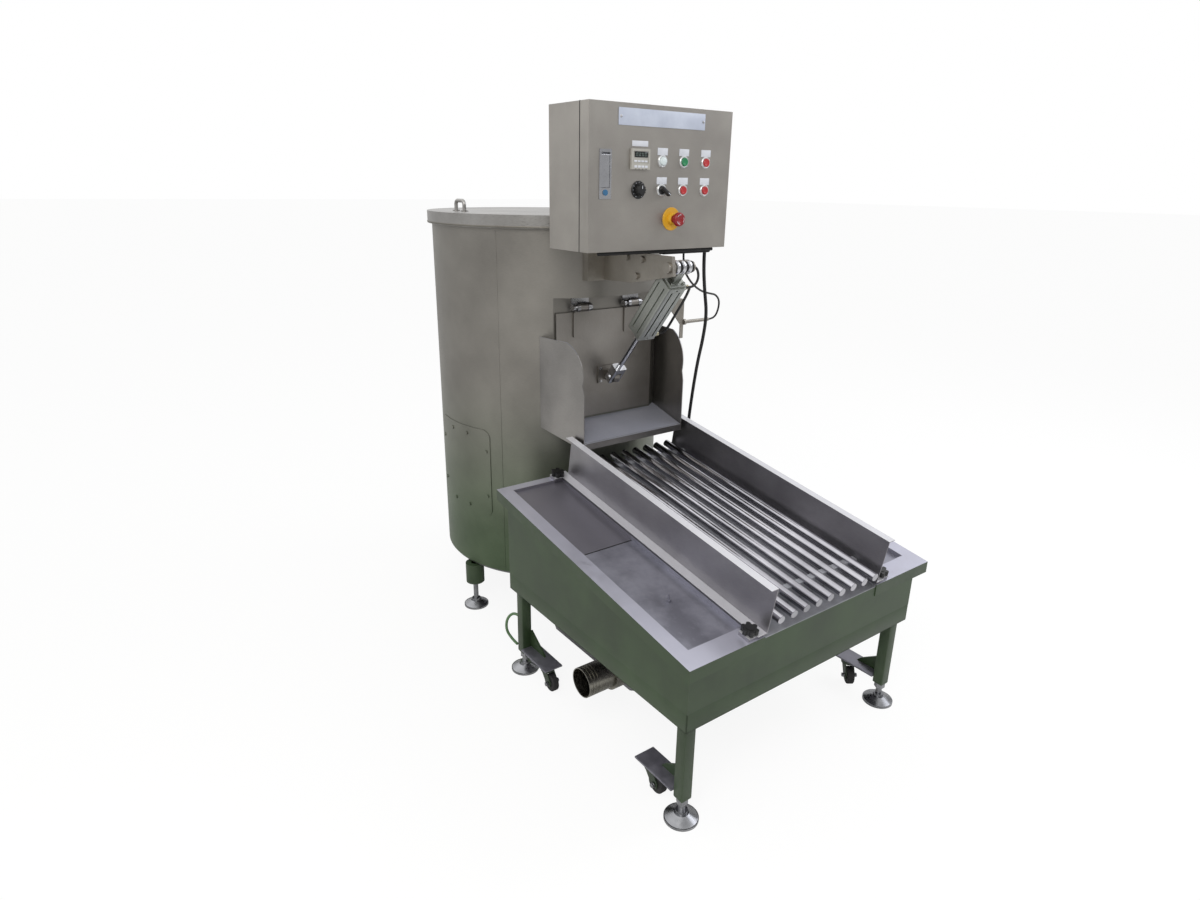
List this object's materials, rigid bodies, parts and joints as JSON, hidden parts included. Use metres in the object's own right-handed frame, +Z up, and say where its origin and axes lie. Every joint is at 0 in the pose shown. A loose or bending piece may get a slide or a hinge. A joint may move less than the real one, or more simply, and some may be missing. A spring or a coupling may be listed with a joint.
{
  "type": "industrial potato peeling machine with inspection table",
  "caption": "Floor-standing batch potato peeler: lidded drum, pneumatic discharge door over a chute, control box, sloped rod table on levelling feet and castors.",
  "frame": {"origin": "centre of the bounding box at floor level", "axes": "+X to the right seen from the front, +Y from the table's front edge to the drum, +Z up"},
  "size_m": [0.856, 1.593, 1.535],
  "materials": {
    "drum_steel": "brushed stainless sheet",
    "plain_steel": "satin stainless sheet",
    "box_steel": "fine brushed stainless box",
    "guide_steel": "satin stainless sheet",
    "tray_steel": "smooth stainless tray",
    "rim_steel": "bright stainless rim",
    "bright_steel": "polished round bar",
    "green_steel": "satin green",
    "cylinder_alloy": "clear anodised",
    "foot_steel": "bright plated",
    "black_plastic": "moulded",
    "dark_rubber": "matt",
    "white_plastic": "moulded",
    "pale_plastic": "moulded",
    "green_plastic": "moulded",
    "red_plastic": "moulded",
    "yellow_plastic": "printed disc, left bare",
    "blue_plastic": "moulded",
    "grit": "bonded abrasive",
    "cast_grey": "painted casting",
    "castor_rubber": "solid tyre",
    "green_lead": "flexible lead"
  },
  "bodies": {
    "frame": {"abrasive_lining": "grit", "access_cover": "drum_steel", "bearing_housing": "cast_grey", "box_body": "box_steel", "cable_glands": "black_plastic", "control_cable": "dark_rubber", "cylinder_arm": "plain_steel", "discharge_chute": "plain_steel", "door_lugs": "bright_steel", "door_sensor": "plain_steel", "drain_hopper": "plain_steel", "drain_pipe": "plain_steel", "drum_decks": "plain_steel", "drum_legs": "green_steel", "drum_shell": "drum_steel", "earth_lead": "green_lead", "gear_motor": "cast_grey", "guides": "guide_steel", "levelling_feet": "foot_steel", "lid_hinge_bracket": "plain_steel", "rod_channel": "tray_steel", "rods": "bright_steel", "sensor_cable": "dark_rubber", "skirt_panels": "green_steel", "star_knobs": "black_plastic", "switchgear": "white_plastic", "table_frame": "green_steel", "table_rim": "rim_steel", "trays": "tray_steel"},
    "lid": {"lid": "plain_steel"},
    "door": {"discharge_door": "guide_steel", "door_seal": "dark_rubber", "door_straps": "plain_steel"},
    "barrel": {"cylinder_barrel": "cylinder_alloy", "cylinder_caps": "cylinder_alloy"},
    "rod": {"piston_rod": "bright_steel"},
    "disc": {"abrasive_disc": "grit"},
    "box_door": {"box_door": "box_steel", "latch_case": "bright_steel", "timer": "pale_plastic", "stop_disc": "yellow_plastic", "pilot_lamp": "white_plastic", "panel_trim": "pale_plastic"},
    "lever": {"latch_lever": "bright_steel"},
    "latch_button": {"latch_button": "blue_plastic"},
    "green_button": {"green_button": "green_plastic"},
    "red_button_a": {"red_button_a": "red_plastic"},
    "red_button_b": {"red_button_b": "red_plastic"},
    "red_button_c": {"red_button_c": "red_plastic"},
    "timer_knob": {"timer_knob": "black_plastic"},
    "selector": {"selector_switch": "black_plastic"},
    "emergency_stop": {"emergency_stop": "red_plastic"},
    "castor_rear_left": {"castor_fork_rear_left": "green_steel"},
    "wheel_rear_left": {"castor_wheel_rear_left": "castor_rubber"},
    "castor_front_left": {"castor_fork_front_left": "green_steel"},
    "wheel_front_left": {"castor_wheel_front_left": "castor_rubber"},
    "castor_front_right": {"castor_fork_front_right": "green_steel"},
    "wheel_front_right": {"castor_wheel_front_right": "castor_rubber"},
    "castor_rear_right": {"castor_fork_rear_right": "green_steel"},
    "wheel_rear_right": {"castor_wheel_rear_right": "castor_rubber"}
  },
  "joints": [
    {"name": "lid_hinge", "type": "hinge", "parent": "frame", "child": "lid", "pos_m": [0.392, 0.42147, 1.248], "axis": [0, 1, 0], "range_deg": [0, 100]},
    {"name": "discharge_door_hinge", "type": "hinge", "parent": "frame", "child": "door", "pos_m": [0.005, 0.09149, 1.015], "axis": [-1, 0, 0], "range_deg": [0, 40]},
    {"name": "cylinder_swing", "type": "hinge", "parent": "frame", "child": "barrel", "pos_m": [0.005, -0.22153, 1.151], "axis": [-1, 0, 0], "range_deg": [0, 10.8]},
    {"name": "piston_rod_slide", "type": "slide", "parent": "barrel", "child": "rod", "axis": [0, 0.6302, -0.7764], "range_m": [-0.1285, 0]},
    {"name": "disc_spin", "type": "hinge", "parent": "frame", "child": "disc", "pos_m": [0.005, 0.42147, 0.6], "axis": [0, 0, 1], "continuous": true},
    {"name": "box_door_hinge", "type": "hinge", "parent": "frame", "child": "box_door", "pos_m": [0.23, -0.11228, 1.3625], "axis": [0, 0, 1], "range_deg": [0, 120]},
    {"name": "latch_lever_hinge", "type": "hinge", "parent": "box_door", "child": "lever", "pos_m": [-0.1915, -0.14553, 1.416], "axis": [-1, 0, 0], "range_deg": [0, 60]},
    {"name": "latch_button_push", "type": "slide", "parent": "box_door", "child": "latch_button", "axis": [0, 1, 0], "range_m": [0, 0.0025], "stiffness_N_per_m": 300},
    {"name": "green_button_push", "type": "slide", "parent": "box_door", "child": "green_button", "axis": [0, 1, 0], "range_m": [0, 0.004], "stiffness_N_per_m": 300},
    {"name": "red_button_a_push", "type": "slide", "parent": "box_door", "child": "red_button_a", "axis": [0, 1, 0], "range_m": [0, 0.004], "stiffness_N_per_m": 300},
    {"name": "red_button_b_push", "type": "slide", "parent": "box_door", "child": "red_button_b", "axis": [0, 1, 0], "range_m": [0, 0.004], "stiffness_N_per_m": 300},
    {"name": "red_button_c_push", "type": "slide", "parent": "box_door", "child": "red_button_c", "axis": [0, 1, 0], "range_m": [0, 0.004], "stiffness_N_per_m": 300},
    {"name": "emergency_stop_push", "type": "slide", "parent": "box_door", "child": "emergency_stop", "axis": [0, 1, 0], "range_m": [0, 0.006], "stiffness_N_per_m": 400},
    {"name": "timer_knob_turn", "type": "hinge", "parent": "box_door", "child": "timer_knob", "pos_m": [-0.088, -0.15053, 1.338], "axis": [0, 1, 0], "range_deg": [0, 300]},
    {"name": "selector_turn", "type": "hinge", "parent": "box_door", "child": "selector", "pos_m": [-0.013, -0.15053, 1.338], "axis": [0, 1, 0], "range_deg": [0, 70]},
    {"name": "castor_swivel_rear_left", "type": "hinge", "parent": "frame", "child": "castor_rear_left", "pos_m": [-0.381, -0.17053, 0.06], "axis": [0, 0, 1], "continuous": true},
    {"name": "castor_roll_rear_left", "type": "hinge", "parent": "castor_rear_left", "child": "wheel_rear_left", "pos_m": [-0.381, -0.19253, 0.028], "axis": [1, 0, 0], "continuous": true},
    {"name": "castor_swivel_front_left", "type": "hinge", "parent": "frame", "child": "castor_front_left", "pos_m": [-0.381, -0.63353, 0.06], "axis": [0, 0, 1], "continuous": true},
    {"name": "castor_roll_front_left", "type": "hinge", "parent": "castor_front_left", "child": "wheel_front_left", "pos_m": [-0.381, -0.65553, 0.028], "axis": [1, 0, 0], "continuous": true},
    {"name": "castor_swivel_front_right", "type": "hinge", "parent": "frame", "child": "castor_front_right", "pos_m": [0.351, -0.63353, 0.06], "axis": [0, 0, 1], "continuous": true},
    {"name": "castor_roll_front_right", "type": "hinge", "parent": "castor_front_right", "child": "wheel_front_right", "pos_m": [0.33807, -0.65133, 0.028], "axis": [0.809, -0.5878, 0], "continuous": true},
    {"name": "castor_swivel_rear_right", "type": "hinge", "parent": "frame", "child": "castor_rear_right", "pos_m": [0.351, -0.17053, 0.06], "axis": [0, 0, 1], "continuous": true},
    {"name": "castor_roll_rear_right", "type": "hinge", "parent": "castor_rear_right", "child": "wheel_rear_right", "pos_m": [0.351, -0.14853, 0.028], "axis": [-1, 0, 0], "continuous": true}
  ],
  "couplings": [
    {"joint": "cylinder_swing", "follows": "discharge_door_hinge", "ratio": 0.26737},
    {"joint": "piston_rod_slide", "follows": "discharge_door_hinge", "m_per_rad": -0.18258}
  ]
}
